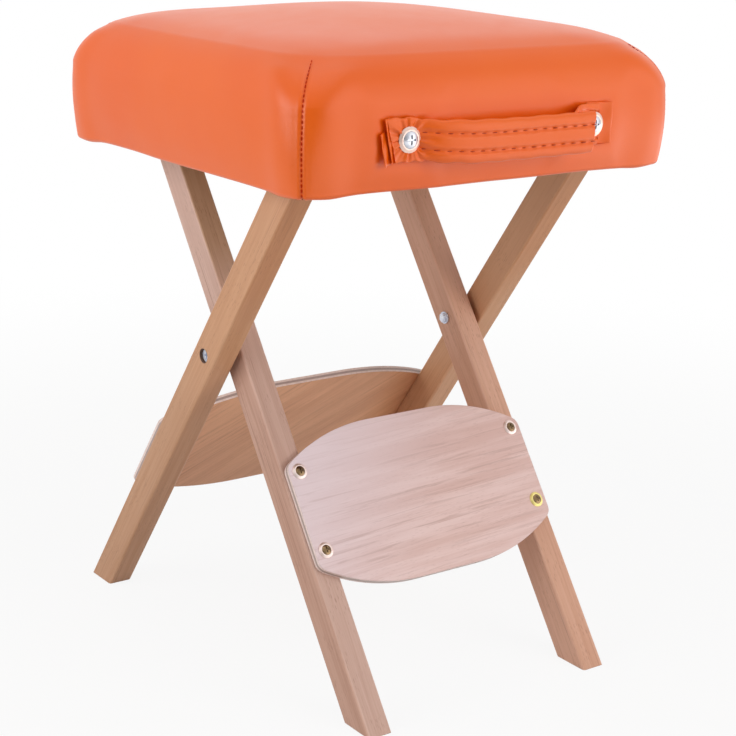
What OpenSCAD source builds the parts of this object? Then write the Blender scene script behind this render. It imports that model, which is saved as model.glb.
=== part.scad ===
// Padded folding stool on two crossed leg frames, with a carrying handle on the front of the seat.
// Origin: on the floor, midway between the four feet. +Z is up, and the handle side faces -Y.

/* [Seat] */
// Width of the seat along its lower edge
seat_w = 338; // [310:2:350]
// Depth of the seat along its lower edge
seat_d = 334; // [310:2:344]
// Height of the seat's lower edge above the floor
seat_h = 403; // [385:1:420]
// Height of the cushion from its lower edge to the top of its crown
cushion_h = 112; // [106:1:125]
// Height of the cushion's widest line above its lower edge
widest_h = 57; // [52:1:60]
// Swelling of the sides past the lower edge
bulge = 6; // [4:0.5:8]
// Radius of the cushion's top edge
top_edge_r = 40; // [30:1:40]
// Rise of the crown over the top edge
crown_h = 14; // [8:1:16]
// Corner radius in plan, along the lower edge
corner_r = 10; // [8:1:14]
// Corner radius in plan, along the widest line
wide_corner_r = 25; // [18:1:34]
// Corner radius in plan, where the top edge meets the crown
top_corner_r = 53; // [30:1:60]
// Thickness of the sewn cover
cover_t = 1.2; // [0.8:0.1:1.6]
// Width of the hem that turns in under the rails
hem_w = 15; // [10:1:16]

/* [Seat frame] */
// Thickness of the front rail and the side rails
rail_t = 18; // [15:0.5:20]
// Height of the four rails
rail_h = 50; // [48:1:52]
// Thickness of the board on top of the rails
board_t = 9; // [6:0.5:10]
// Thickness of the rear rail, the stop for the inner legs
rear_rail_t = 29.5; // [20:0.5:34]
// Width of the two runners that the inner legs slide along
runner_w = 20; // [16:1:22]

/* [Legs] */
// Width of a leg, across the stool
leg_w = 21; // [18:0.5:24]
// Depth of a leg, seen from the side
leg_t = 27; // [22:0.5:30]
// Radius of a leg's long edges
leg_edge_r = 2; // [1:0.5:4]
// Lean of every leg from the vertical
leg_lean = 35.7; // [33:0.1:37]
// Height of the crossing point above the floor
pivot_h = 250; // [240:1:260]
// Height of the leg tops' centres above the seat's lower edge
hinge_rise = 10.5; // [10:0.5:14]
// Gap between an outer leg and the inner leg beside it
leg_gap = 4.5; // [4:0.5:8]
// Gap between an outer leg and the seat's side rail
side_gap = 7; // [2.5:0.5:10]
// Height of the rail between the inner legs' tops, along the legs
top_rail_h = 22; // [18:1:26]
// Thickness of that rail
top_rail_t = 18; // [14:1:22]
// Distance of that rail's middle below the leg tops' centres, along the legs
top_rail_drop = 3; // [2:0.5:8]

/* [Panels] */
// Thickness of the plywood panels
panel_t = 6.5; // [5:0.5:9]
// Height of a panel at its middle, along the legs
panel_h = 132; // [120:1:140]
// Height of a panel at its side edges
panel_side_h = 82; // [74:1:90]
// Distance from the crossing point to a panel's middle, along the legs
panel_drop = 145.5; // [130:0.5:155]
// Half width of the straight stretch at the middle of a panel's long edges
panel_flat = 30; // [20:1:40]
// Rounding of a panel's four corners
panel_corner_r = 5; // [2:0.5:8]
// Inset of the front panel's side edges from the inner legs' outer faces
front_panel_inset = 2.5; // [0.5:0.5:6]
// Inset of the rear panel's side edges from the outer legs' outer faces
rear_panel_inset = 3.5; // [0.5:0.5:6]
// Spacing of the two screws in each leg
panel_screw_gap = 64; // [50:1:66]
// Distance of those two screws' middle above the panel's middle, along the legs
panel_screw_rise = 3.5; // [0:0.5:5]
// Inset of the panel screws from the leg's outer face
panel_screw_inset = 12; // [9:0.5:13]

/* [Handle] */
// Spacing of the two handle screws
handle_span = 170; // [150:1:190]
// Offset of the handle's middle to the right of the seat's middle
handle_shift = -2.5; // [-10:0.5:10]
// Height of the handle screws above the seat's lower edge
handle_rise = 37; // [28:1:38]
// Width of the handle band's doubled ends
band_w = 31; // [26:1:34]
// Width of the band between its ends, inside the grip
band_core_w = 24; // [16:1:26]
// Thickness of the handle band
band_t = 2.4; // [1.6:0.2:3]
// Length of the band past each screw
tab_l = 19; // [14:1:24]
// Length of the padded grip
grip_l = 132; // [110:1:136]
// Thickness of the padded grip
grip_t = 8; // [6:0.5:9]
// Width of the padded grip
grip_w = 30; // [28:1:36]
// Distance from the tabs' back to the band's middle line at mid-span
handle_rise_out = 12.2; // [10:0.2:14]

/* [Fasteners] */
// Diameter of the pivot bolts
pivot_d = 6; // [5:0.5:8]
// Diameter of the pivot bolts' heads
pivot_head_d = 10.5; // [9:0.5:12]
// Height of the pivot bolts' heads
pivot_head_h = 4; // [3:0.5:5]
// Depth of the recess over a pivot bolt's head
pivot_sink = 2.5; // [1:0.5:4]
// Diameter of the panel screws' cup washers
panel_cup_d = 12.4; // [10:0.2:14]
// Diameter of the panel screws' heads
panel_head_d = 8; // [6:0.2:9]
// Height of the panel screws' cup washers
panel_cup_h = 1.4; // [1.2:0.1:2.6]
// Diameter of the panel screws' shanks
panel_shank_d = 4; // [3:0.2:4.4]
// Length of the panel screws below the cup washer
panel_screw_l = 25; // [18:1:28]
// Diameter of the handle screws' cup washers
handle_cup_d = 18.5; // [16:0.5:20]
// Diameter of the handle screws' heads
handle_head_d = 12.4; // [10:0.2:13]
// Height of the handle screws' cup washers
handle_cup_h = 1.6; // [1.4:0.2:4]
// Diameter of the handle screws' shanks
handle_shank_d = 4.6; // [4:0.2:5]
// Diameter of the frame screws' shanks
frame_shank_d = 4; // [3:0.2:4.4]
// Length of the frame screws
frame_screw_l = 45; // [38:1:50]
// Length of the board screws
board_screw_l = 32; // [26:1:40]
// Number of staples along each rail
staples_per_rail = 9; // [5:1:12]

/* [Hidden] */
$fn = 48;

// Clearances
soft_gap = 0.3;
run_gap = 0.05;
screw_fit = 0.05;
soft_hole_fit = 0.4;
head_gap = 0.5;
slide_gap = 0.3;
stop_gap = 0.4;
eps = 0.01;

// Fastener details
tip_l = 3;
tip_r = 0.4;
insert_d = 9;
insert_l = 14;
nut_flange_d = 10.4;
nut_flange_h = 1.2;
nut_d = 8.6;
nut_h = 1.8;
bolt_end = 0.4;
spacer_d = 13;
cup_edge_h = 0.5;
cup_lip = 0.8;
staple_w = 10;
staple_wire = 0.8;
staple_l = 5;

// Leg frames: the crossing point P, and the leg tops' centres at the same distance from it
leg_end_r = leg_t / 2;
hinge_h = seat_h + hinge_rise;
arm = (hinge_h - pivot_h) / cos(leg_lean);
hinge_y = arm * sin(leg_lean);
leg_foot = pivot_h / cos(leg_lean) + leg_t * tan(leg_lean);

// Seat frame, built out from the leg tops: the rear rail is the stop for the inner legs
frame_half_w = seat_w / 2 - cover_t - soft_gap;
rail_bottom = seat_h + cover_t + soft_gap;
board_bottom = rail_bottom + rail_h;
board_top = board_bottom + board_t;
frame_rear = hinge_y + leg_end_r + stop_gap + rear_rail_t;
seat_rear = frame_rear + soft_gap + cover_t;
seat_front = seat_rear - seat_d;
frame_front = seat_front + cover_t + soft_gap;
seat_mid = (seat_front + seat_rear) / 2;
frame_half_d = (frame_rear - frame_front) / 2;
runner_bottom = hinge_h + leg_end_r + slide_gap;
side_rail_in = frame_half_w - rail_t;
side_rail_l = 2 * frame_half_d - rail_t - rear_rail_t;

// Leg positions across the stool
outer_face = side_rail_in - side_gap;
outer_in = outer_face - leg_w;
inner_face = outer_in - leg_gap;
inner_in = inner_face - leg_w;

// Cushion rings
arc_steps = 5;
edge_steps = 3;
side_steps = 5;
fillet_steps = 5;
crown_steps = 4;
widest_z = seat_h + widest_h;
crown_z = seat_h + cushion_h;
wadding_rise = 10;
hem_corner_r = 2;
fillet_z = crown_z - crown_h - top_edge_r;
wide_half_w = seat_w / 2 + bulge;
wide_half_d = seat_d / 2 + bulge;

// Handle, measured from the back of its tabs
handle_z = seat_h + handle_rise;
tab_back = seat_front - bulge - soft_gap;
tab_t = 2 * band_t;
handle_ramp_l = 28;
ramp_out = handle_span / 2 - handle_cup_d / 2 - 1;
ramp_in = ramp_out - handle_ramp_l;
handle_screw_l = tab_t + bulge + cover_t + 2 * soft_gap + rail_t - tip_l;

// Seat screws
frame_screw_low = hinge_h + insert_d / 2 + frame_shank_d;
frame_screw_high = board_bottom - 2 * frame_shank_d;
frame_screw_sink = 1.6;
rear_screw_l = frame_screw_l + rear_rail_t - rail_t;
board_screw_inset = 12;
runner_screw_inset = 40;
runner_screw_l = board_bottom - runner_bottom + board_t - 2;

// Rings of the cushion's skin, t inside its outer surface: [half width, half depth, corner, z, crown]
function swelling(z) = bulge * (1 - pow((widest_z - z) / widest_h, 2));
function skin_ring(inset, corner, z) = [wide_half_w - inset, wide_half_d - inset, corner, z];
function side_rings(t, low) = [
    for (i = [0 : side_steps])
        let (z = low + (widest_z - low) * i / side_steps)
        let (share = (z - seat_h) / widest_h)
        skin_ring(bulge - swelling(z) + t, corner_r + (wide_corner_r - corner_r) * share - t, z)
];
function fillet_rings(t) = [
    for (i = [0 : fillet_steps])
        let (turn = 90 * i / fillet_steps)
        let (inset = top_edge_r - (top_edge_r - t) * cos(turn))
        let (corner = wide_corner_r + (top_corner_r - wide_corner_r) * i / fillet_steps)
        skin_ring(inset, corner - t, fillet_z + (top_edge_r - t) * sin(turn))
];
function crown_rings(t) = [
    for (i = [1 : crown_steps - 1])
        let (share = 1 - i / crown_steps)
        [
            (wide_half_w - top_edge_r) * share,
            (wide_half_d - top_edge_r) * share,
            (top_corner_r - t) * share,
            crown_z - t - crown_h,
            crown_h
        ]
];
function dome_rings(t) = concat(fillet_rings(t), crown_rings(t));

// Rise of the crown at a point of the top: none along the top edge, all of it in the middle
function crown_share(x, y) =
    let (u = x / (wide_half_w - top_edge_r))
    let (v = y / (wide_half_d - top_edge_r))
    (1 - u * u) * (1 - v * v);

// Points of one ring: four corner arcs, each followed by a straight edge
function corner_point(ring, quarter, i) =
    let (turn = 90 * (quarter + i / arc_steps))
    let (mid_x = (quarter == 0 || quarter == 3 ? 1 : -1) * (ring[0] - ring[2]))
    let (mid_y = (quarter < 2 ? 1 : -1) * (ring[1] - ring[2]))
    [mid_x + ring[2] * cos(turn), mid_y + ring[2] * sin(turn), 0];
function ring_points(ring) = [
    for (quarter = [0 : 3])
        let (leave = corner_point(ring, quarter, arc_steps))
        let (next = corner_point(ring, (quarter + 1) % 4, 0))
        for (i = [0 : arc_steps + edge_steps - 1])
            let (flat = i <= arc_steps
                ? corner_point(ring, quarter, i)
                : leave + (next - leave) * (i - arc_steps) / edge_steps)
            let (lift = is_undef(ring[4]) ? 0 : ring[4] * crown_share(flat[0], flat[1]))
            [flat[0], flat[1] + seat_mid, ring[3] + lift]
];

// Triangles between one ring and the next, each quad split along one diagonal or the other
function band_faces(first, second, count, other = false) = [
    for (i = [0 : count - 1])
        let (j = (i + 1) % count)
        for (half = [0, 1])
            half == 0
                ? [first + i, second + i, other ? second + j : first + j]
                : [first + j, other ? first + i : second + i, second + j]
];

// Closed solid through a list of rings: capped at both ends, or joined end to end. Rings listed from the top
// down come first: they take the other diagonal, so that skins one inside the other split alike
module ring_solid(rings, cap_low = 0, cap_high = 0, loop = false, downward = 0) {
    count = 4 * (arc_steps + edge_steps);
    last = len(rings) - 1;
    caps = loop ? [] : [[0, seat_mid, cap_low], [0, seat_mid, cap_high]];
    points = concat([for (ring = rings) each ring_points(ring)], caps);
    walls = [
        for (k = [0 : last - 1])
            each band_faces(k * count, (k + 1) * count, count, k < downward - 1)
    ];
    low_cap = [for (i = [0 : count - 1]) [i, (i + 1) % count, (last + 1) * count]];
    high_cap = [
        for (i = [0 : count - 1])
            [last * count + (i + 1) % count, last * count + i, (last + 1) * count + 1]
    ];
    ends = loop ? band_faces(last * count, 0, count) : concat(low_cap, high_cap);
    polyhedron(points, concat(walls, ends), convexity = 6);
}

// Rectangle with round corners, standing on true arcs
module round_rect(w, d, r) {
    square([w - 2 * r, d], center = true);
    square([w, d - 2 * r], center = true);
    for (x = [-1, 1], y = [-1, 1])
        translate([x * (w / 2 - r), y * (d / 2 - r)])
            circle(r);
}

// Plan of the seat frame
module frame_plan() {
    translate([0, seat_mid])
        round_rect(2 * frame_half_w, 2 * frame_half_d, corner_r);
}

// Frame of one pair of legs: local Z runs up the legs from the crossing point
module outer_place() {
    translate([0, 0, pivot_h])
        rotate([leg_lean, 0, 0])
            children();
}

module inner_place() {
    mirror([0, 1, 0])
        outer_place()
            children();
}

// A shaft or bore across the stool, from x0 to x1
module across(x0, x1, r) {
    translate([x0, 0, 0])
        rotate([0, 90, 0])
            cylinder(h = x1 - x0, r = r);
}

// Both sides of the stool
module both_sides() {
    children();
    mirror([1, 0, 0])
        children();
}

// Cross-shaped driver recess, cut down from z
module cross_slot(span, depth, z) {
    for (turn = [0, 90])
        rotate([0, 0, turn])
            translate([-span / 2, -span / 10, z - depth])
                cube([span, span / 5, depth + 1]);
}

// Cup washer: its back lies at z = 0 and the screw points to -Z
module cup_washer(cup_d, cup_h, head_d, shank_d) {
    hole_r = shank_d / 2 + soft_hole_fit;
    rim_r = head_d / 2 + run_gap;
    rotate_extrude()
        polygon([
            [hole_r, 0], [cup_d / 2, 0], [cup_d / 2, cup_edge_h], [rim_r + cup_lip, cup_h],
            [rim_r, cup_h], [hole_r, cup_edge_h - 2 * run_gap]
        ]);
}

// Oval-head screw that sits in a cup washer
module cup_screw(cup_h, head_d, shank_d, l) {
    dome = head_d / 8;
    sphere_r = (head_d * head_d / 4 + dome * dome) / (2 * dome);
    difference() {
        union() {
            translate([0, 0, cup_h - eps])
                intersection() {
                    cylinder(h = dome + eps, r = head_d / 2);
                    translate([0, 0, dome - sphere_r])
                        sphere(sphere_r, $fn = 96);
                }
            translate([0, 0, cup_edge_h])
                cylinder(h = cup_h - cup_edge_h, r1 = shank_d / 2, r2 = head_d / 2);
            translate([0, 0, tip_l - l])
                cylinder(h = l - tip_l + cup_edge_h, r = shank_d / 2);
            translate([0, 0, -l])
                cylinder(h = tip_l, r1 = tip_r, r2 = shank_d / 2);
        }
        cross_slot(head_d * 0.56, cup_h * 0.8, cup_h + dome);
    }
}

// Countersunk screw with its head at z = 0, pointing to -Z; grown by the fit, it is its own hole
module flush_screw(shank_d, l, fit = 0) {
    head_r = shank_d;
    sink = shank_d / 2;
    if (fit > 0)
        translate([0, 0, -eps])
            cylinder(h = 2 * frame_screw_sink, r = head_r + fit);
    translate([0, 0, -sink])
        cylinder(h = sink, r1 = shank_d / 2 + fit, r2 = head_r + fit);
    translate([0, 0, tip_l - l])
        cylinder(h = l - tip_l - sink + eps, r = shank_d / 2 + fit);
    translate([0, 0, -l - fit])
        cylinder(h = tip_l + fit + eps, r1 = tip_r + fit, r2 = shank_d / 2 + fit);
}

// Pan-head bolt along -X: the head's back lies at x = 0
module pan_bolt(l) {
    difference() {
        across(0, pivot_head_h, pivot_head_d / 2);
        rotate([0, 90, 0])
            cross_slot(pivot_head_d * 0.6, pivot_head_h * 0.6, pivot_head_h);
    }
    across(-l, eps, pivot_d / 2);
}

// Screws through the front and rear rails into the side rails; grown by the fit, their holes
module frame_screw_set(fit = 0) {
    for (x = [-1, 1], z = [frame_screw_low, frame_screw_high]) {
        translate([x * (side_rail_in + rail_t / 2), frame_front + frame_screw_sink, z])
            rotate([90, 0, 0])
                flush_screw(frame_shank_d, frame_screw_l, fit);
        translate([x * (side_rail_in + rail_t / 2), frame_rear - frame_screw_sink, z])
            rotate([-90, 0, 0])
                flush_screw(frame_shank_d, rear_screw_l, fit);
    }
}

// Where each other set of screws goes
module board_screw_places() {
    for (x = [-1, 0, 1], y = [frame_front + rail_t / 2, frame_rear - rear_rail_t / 2])
        translate([x * (side_rail_in - board_screw_inset), y, board_top])
            children();
    for (x = [-1, 1], y = [-1, 1])
        translate([x * (side_rail_in + rail_t / 2), seat_mid + y * frame_half_d / 2, board_top])
            children();
}

module runner_screw_places() {
    reach = frame_half_d - rear_rail_t - runner_screw_inset;
    for (x = [-1, 1], y = [-1, 0, 1])
        translate([x * (inner_in + leg_w / 2), seat_mid + y * reach, runner_bottom])
            rotate([180, 0, 0])
                children();
}

module panel_screw_places(face) {
    for (x = [-1, 1], z = [-0.5, 0.5])
        translate([
            x * (face - panel_screw_inset),
            leg_t / 2 + panel_t,
            z * panel_screw_gap + panel_screw_rise - panel_drop
        ])
            rotate([-90, 0, 0])
                children();
}

module handle_screw_places() {
    for (x = [-0.5, 0.5])
        translate([handle_shift + x * handle_span, tab_back - tab_t, handle_z])
            rotate([90, 0, 0])
                children();
}

module handle_holes(fit) {
    handle_screw_places()
        cylinder(h = 2 * handle_screw_l, r = handle_shank_d / 2 + fit, center = true);
}

module panel_holes(face) {
    panel_screw_places(face)
        cylinder(h = 2 * panel_screw_l, r = panel_shank_d / 2 + screw_fit, center = true);
}

module top_rail_screw_places() {
    for (z = [-0.25, 0.25])
        translate([inner_face, 0, arm - top_rail_drop + z * top_rail_h])
            rotate([0, 90, 0])
                children();
}

// Sewn cover: an inner and an outer skin that meet along the hem
module seat_cover() {
    hem = [for (z = [seat_h + cover_t, seat_h]) skin_ring(bulge + hem_w, hem_corner_r, z)];
    inner = concat(side_rings(cover_t, seat_h + cover_t), dome_rings(cover_t));
    outer = concat(side_rings(0, seat_h), dome_rings(0));
    inner_down = [for (i = [len(inner) - 1 : -1 : 0]) inner[i]];
    color([0.92, 0.42, 0.2])
        difference() {
            ring_solid(concat(inner_down, hem, outer), crown_z - cover_t, crown_z, downward = len(inner));
            handle_holes(soft_hole_fit);
        }
}

// Foam block between the board and the cover
module foam_pad() {
    t = cover_t + soft_gap;
    base = board_top + soft_gap;
    dome = [for (ring = dome_rings(t)) if (ring[3] > base) ring];
    foot = [dome[0][0], dome[0][1], dome[0][2], base];
    color([0.93, 0.87, 0.6])
        ring_solid(concat([foot], dome), base, crown_z - t);
}

// Wadding around the rails that gives the sides their swell
module edge_wadding() {
    t = cover_t + soft_gap;
    low = seat_h + wadding_rise;
    outer = side_rings(t, low);
    core = [frame_half_w + soft_gap, frame_half_d + soft_gap, corner_r + soft_gap];
    inner = [for (i = [side_steps : -1 : 0]) [core[0], core[1], core[2], outer[i][3]]];
    color([0.9, 0.9, 0.88])
        difference() {
            ring_solid(concat(inner, outer), loop = true);
            handle_holes(soft_hole_fit);
        }
}

module seat_board() {
    color([0.78, 0.62, 0.42])
        difference() {
            translate([0, 0, board_bottom])
                linear_extrude(board_t)
                    frame_plan();
            board_screw_places()
                flush_screw(frame_shank_d, board_screw_l, screw_fit);
            runner_screw_places()
                flush_screw(frame_shank_d, runner_screw_l, screw_fit);
        }
}

// Rail along the front or the rear; the side rails butt against it
module long_rail(y0, t) {
    color([0.8, 0.65, 0.45])
        difference() {
            translate([0, 0, rail_bottom])
                linear_extrude(rail_h)
                    intersection() {
                        frame_plan();
                        translate([-seat_w, y0])
                            square([2 * seat_w, t]);
                    }
            frame_screw_set(screw_fit);
            board_screw_places()
                flush_screw(frame_shank_d, board_screw_l, screw_fit);
            handle_holes(screw_fit);
        }
}

module seat_front_rail() {
    long_rail(frame_front, rail_t);
}

module seat_rear_rail() {
    long_rail(frame_rear - rear_rail_t, rear_rail_t);
}

module side_rail() {
    color([0.8, 0.65, 0.45])
        difference() {
            translate([side_rail_in, frame_front + rail_t, rail_bottom])
                cube([rail_t, side_rail_l, rail_h]);
            frame_screw_set(screw_fit);
            board_screw_places()
                flush_screw(frame_shank_d, board_screw_l, screw_fit);
            translate([0, -hinge_y, hinge_h])
                across(side_rail_in - 1, side_rail_in + insert_l, insert_d / 2 + screw_fit);
        }
}

module seat_side_rail_left() {
    mirror([1, 0, 0])
        side_rail();
}

module seat_side_rail_right() {
    side_rail();
}

// Runner under the board, over one inner leg's top
module runner() {
    color([0.8, 0.65, 0.45])
        difference() {
            translate([
                inner_in + (leg_w - runner_w) / 2,
                frame_front + rail_t,
                runner_bottom
            ])
                cube([runner_w, side_rail_l, board_bottom - runner_bottom]);
            runner_screw_places()
                flush_screw(frame_shank_d, runner_screw_l, screw_fit);
        }
}

module seat_runner_left() {
    mirror([1, 0, 0])
        runner();
}

module seat_runner_right() {
    runner();
}

module frame_screws() {
    color("silver")
        frame_screw_set();
}

module board_screws() {
    color("silver")
        board_screw_places()
            flush_screw(frame_shank_d, board_screw_l);
}

module runner_screws() {
    color("silver")
        runner_screw_places()
            flush_screw(frame_shank_d, runner_screw_l);
}

// Staple through the hem into a rail, its crown along X
module staple() {
    translate([-staple_w / 2, -staple_wire / 2, -staple_wire])
        cube([staple_w, staple_wire, staple_wire]);
    for (x = [-staple_w / 2, staple_w / 2 - staple_wire])
        translate([x, -staple_wire / 2, -eps])
            cube([staple_wire, staple_wire, staple_l]);
}

module cover_staples() {
    pitch_x = 2 * (side_rail_in - staple_w) / (staples_per_rail - 1);
    pitch_y = 2 * (frame_half_d - rail_t - staple_w) / (staples_per_rail - 1);
    inset = hem_w / 2 + cover_t + soft_gap;
    color("silver")
        translate([0, seat_mid, seat_h])
            for (i = [0 : staples_per_rail - 1], side = [-1, 1]) {
                translate([
                    staple_w - side_rail_in + i * pitch_x,
                    side * (seat_d / 2 - inset),
                    0
                ])
                    staple();
                translate([
                    side * (seat_w / 2 - inset),
                    staple_w + rail_t - frame_half_d + i * pitch_y,
                    0
                ])
                    rotate([0, 0, 90])
                        staple();
            }
}

// Middle line of the handle band, as a distance in front of the tabs' back
function band_line(x) =
    let (share = max(0, min(1, (ramp_out - abs(x)) / (ramp_out - ramp_in))))
    band_t / 2 + (handle_rise_out - band_t / 2) * (1 - cos(180 * share)) / 2;

// Strip along the band's line, t thick, from x0 to x1, seen in plan
module band_plan(t, x0, x1) {
    steps = 40;
    xs = [for (i = [0 : steps]) x0 + (x1 - x0) * i / steps];
    outer = [for (x = xs) [x, -band_line(x) - t / 2]];
    inner = [for (i = [steps : -1 : 0]) [xs[i], t / 2 - band_line(xs[i])]];
    polygon(concat(outer, inner));
}

module handle_place() {
    translate([handle_shift, tab_back, handle_z])
        children();
}

// Band of folded cover material: its ends are doubled and take the screws
module handle_band() {
    band_half = handle_span / 2 + tab_l;
    color([0.9, 0.4, 0.18])
        difference() {
            handle_place()
                union() {
                    translate([0, 0, -band_core_w / 2])
                        linear_extrude(band_core_w)
                            band_plan(band_t, -band_half, band_half);
                    for (x = [-1, 1])
                        translate([x * (ramp_out + band_half) / 2, -tab_t / 2, 0])
                            cube([band_half - ramp_out, tab_t, band_w], center = true);
                }
            handle_holes(soft_hole_fit);
        }
}

// Padded sleeve around the middle of the band
module handle_grip() {
    color([0.94, 0.44, 0.2])
        handle_place()
            difference() {
                translate([0, 0, -grip_w / 2])
                    linear_extrude(grip_w)
                        band_plan(grip_t, -grip_l / 2, grip_l / 2);
                translate([0, 0, -band_core_w / 2 - soft_gap])
                    linear_extrude(band_core_w + 2 * soft_gap)
                        band_plan(band_t + 2 * soft_gap, -grip_l / 2 - 1, grip_l / 2 + 1);
            }
}

module handle_cup_washers() {
    color("gainsboro")
        handle_screw_places()
            cup_washer(handle_cup_d, handle_cup_h, handle_head_d, handle_shank_d);
}

module handle_screws() {
    color("silver")
        handle_screw_places()
            cup_screw(handle_cup_h, handle_head_d, handle_shank_d, handle_screw_l);
}

// Seat pivots: bolts through the outer legs into inserts in the side rails
module seat_pivot_places() {
    both_sides()
        translate([0, -hinge_y, hinge_h])
            children();
}

module seat_pivot_bolts() {
    back = outer_in + head_gap + pivot_head_h;
    end = side_rail_in + insert_l - bolt_end;
    color("silver")
        seat_pivot_places()
            translate([back, 0, 0])
                mirror([1, 0, 0])
                    pan_bolt(end - back);
}

module seat_pivot_inserts() {
    color("goldenrod")
        seat_pivot_places()
            difference() {
                across(side_rail_in, side_rail_in + insert_l, insert_d / 2);
                across(side_rail_in - 1, side_rail_in + insert_l + 1, pivot_d / 2 + screw_fit);
            }
}

module seat_pivot_spacers() {
    color([0.2, 0.18, 0.17])
        seat_pivot_places()
            difference() {
                across(outer_face + run_gap, side_rail_in, spacer_d / 2);
                across(outer_face - 1, side_rail_in + 1, pivot_d / 2 + run_gap);
            }
}

// One leg between the floor and its round top, seen from the side, then cut to its section
module leg(x0) {
    intersection() {
        translate([x0 + leg_w / 2, 0, -leg_foot])
            linear_extrude(leg_foot + arm + leg_end_r)
                round_rect(leg_w, leg_t, leg_edge_r);
        translate([x0, 0, 0])
            rotate([90, 0, 90])
                linear_extrude(leg_w)
                    union() {
                        translate([-leg_t / 2, -leg_foot])
                            square([leg_t, leg_foot + arm]);
                        translate([0, arm])
                            circle(leg_end_r, $fn = 96);
                    }
    }
}

module above_floor() {
    intersection() {
        children();
        translate([-seat_w, -2 * seat_d, 0])
            cube([2 * seat_w, 4 * seat_d, 2 * seat_h]);
    }
}

module outer_leg() {
    color([0.77, 0.58, 0.46])
        above_floor()
            outer_place()
                difference() {
                    leg(outer_in);
                    across(outer_in - 1, outer_face + 1, pivot_d / 2 + screw_fit);
                    across(outer_face - pivot_head_h - pivot_sink, outer_face + 1, pivot_head_d / 2 + head_gap);
                    translate([0, 0, arm]) {
                        across(outer_in - 1, outer_face + 1, pivot_d / 2 + run_gap);
                        across(outer_in - 1, outer_in + head_gap + pivot_head_h, pivot_head_d / 2 + head_gap);
                    }
                    panel_holes(outer_face);
                }
}

module outer_leg_left() {
    mirror([1, 0, 0])
        outer_leg();
}

module outer_leg_right() {
    outer_leg();
}

module inner_leg() {
    color([0.77, 0.58, 0.46])
        above_floor()
            inner_place()
                difference() {
                    leg(inner_in);
                    across(inner_in - 1, inner_face + 1, pivot_d / 2 + run_gap);
                    top_rail_screw_places()
                        flush_screw(frame_shank_d, frame_screw_l, screw_fit);
                    panel_holes(inner_face);
                }
}

module inner_leg_left() {
    mirror([1, 0, 0])
        inner_leg();
}

module inner_leg_right() {
    inner_leg();
}

// Rail between the inner legs' tops
module inner_top_rail() {
    color([0.77, 0.58, 0.46])
        inner_place()
            difference() {
                translate([0, 0, arm - top_rail_drop])
                    cube([2 * inner_in, top_rail_t, top_rail_h], center = true);
                both_sides()
                    top_rail_screw_places()
                        flush_screw(frame_shank_d, frame_screw_l, screw_fit);
            }
}

module inner_rail_screws() {
    color("silver")
        inner_place()
            both_sides()
                top_rail_screw_places()
                    flush_screw(frame_shank_d, frame_screw_l);
}

// Outline of a panel: straight side edges, arcs that fall towards them, and a flat middle
module panel_outline(half_w) {
    run = half_w - panel_flat;
    fall = (panel_h - panel_side_h) / 2;
    arc_r = (run * run + fall * fall) / (2 * fall);
    steps = 12;
    arc = [
        for (i = [0 : steps])
            let (x = (run - panel_corner_r) * i / steps)
            [panel_flat + x, panel_h / 2 - arc_r + sqrt(arc_r * arc_r - x * x)]
    ];
    corner = [half_w, panel_side_h / 2];
    side = corner - [0, panel_corner_r];
    round_steps = 5;
    rounding = [
        for (i = [1 : round_steps])
            let (t = i / round_steps)
            (1 - t) * (1 - t) * arc[steps] + 2 * t * (1 - t) * corner + t * t * side
    ];
    quarter = concat(arc, rounding);
    last = len(quarter) - 1;
    top_right = [for (i = [last : -1 : 0]) quarter[i]];
    top_left = [for (point = quarter) [-point[0], point[1]]];
    bottom_left = [for (i = [last : -1 : 0]) [-quarter[i][0], -quarter[i][1]]];
    bottom_right = [for (point = quarter) [point[0], -point[1]]];
    polygon(concat(top_right, top_left, bottom_left, bottom_right));
}

// Plywood panel across a pair of legs, on their +Y faces
module panel(face, inset) {
    color([0.82, 0.68, 0.62])
        difference() {
            translate([0, leg_t / 2, -panel_drop])
                rotate([90, 0, 0])
                    mirror([0, 0, 1])
                        linear_extrude(panel_t)
                            panel_outline(face - inset);
            panel_holes(face);
        }
}

module panel_screws(face) {
    color("silver")
        panel_screw_places(face)
            cup_screw(panel_cup_h, panel_head_d, panel_shank_d, panel_screw_l);
}

module panel_cup_washers(face) {
    color("burlywood")
        panel_screw_places(face)
            cup_washer(panel_cup_d, panel_cup_h, panel_head_d, panel_shank_d);
}

module rear_panel() {
    outer_place()
        panel(outer_face, rear_panel_inset);
}

module rear_panel_screws() {
    outer_place()
        panel_screws(outer_face);
}

module rear_panel_cup_washers() {
    outer_place()
        panel_cup_washers(outer_face);
}

module front_panel() {
    inner_place()
        panel(inner_face, front_panel_inset);
}

module front_panel_screws() {
    inner_place()
        panel_screws(inner_face);
}

module front_panel_cup_washers() {
    inner_place()
        panel_cup_washers(inner_face);
}

// Crossing pivots: bolts from the outer faces, spacers between the legs, nuts on the inner faces
module frame_pivot_bolts() {
    back = outer_face - pivot_sink - pivot_head_h;
    end = inner_in - slide_gap - nut_flange_h - nut_h - bolt_end;
    color("silver")
        both_sides()
            translate([back, 0, pivot_h])
                pan_bolt(back - end);
}

module frame_pivot_spacers() {
    color([0.2, 0.18, 0.17])
        both_sides()
            translate([0, 0, pivot_h])
                difference() {
                    across(inner_face + run_gap, outer_in, spacer_d / 2);
                    across(inner_face - 1, outer_in + 1, pivot_d / 2 + screw_fit);
                }
}

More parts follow.
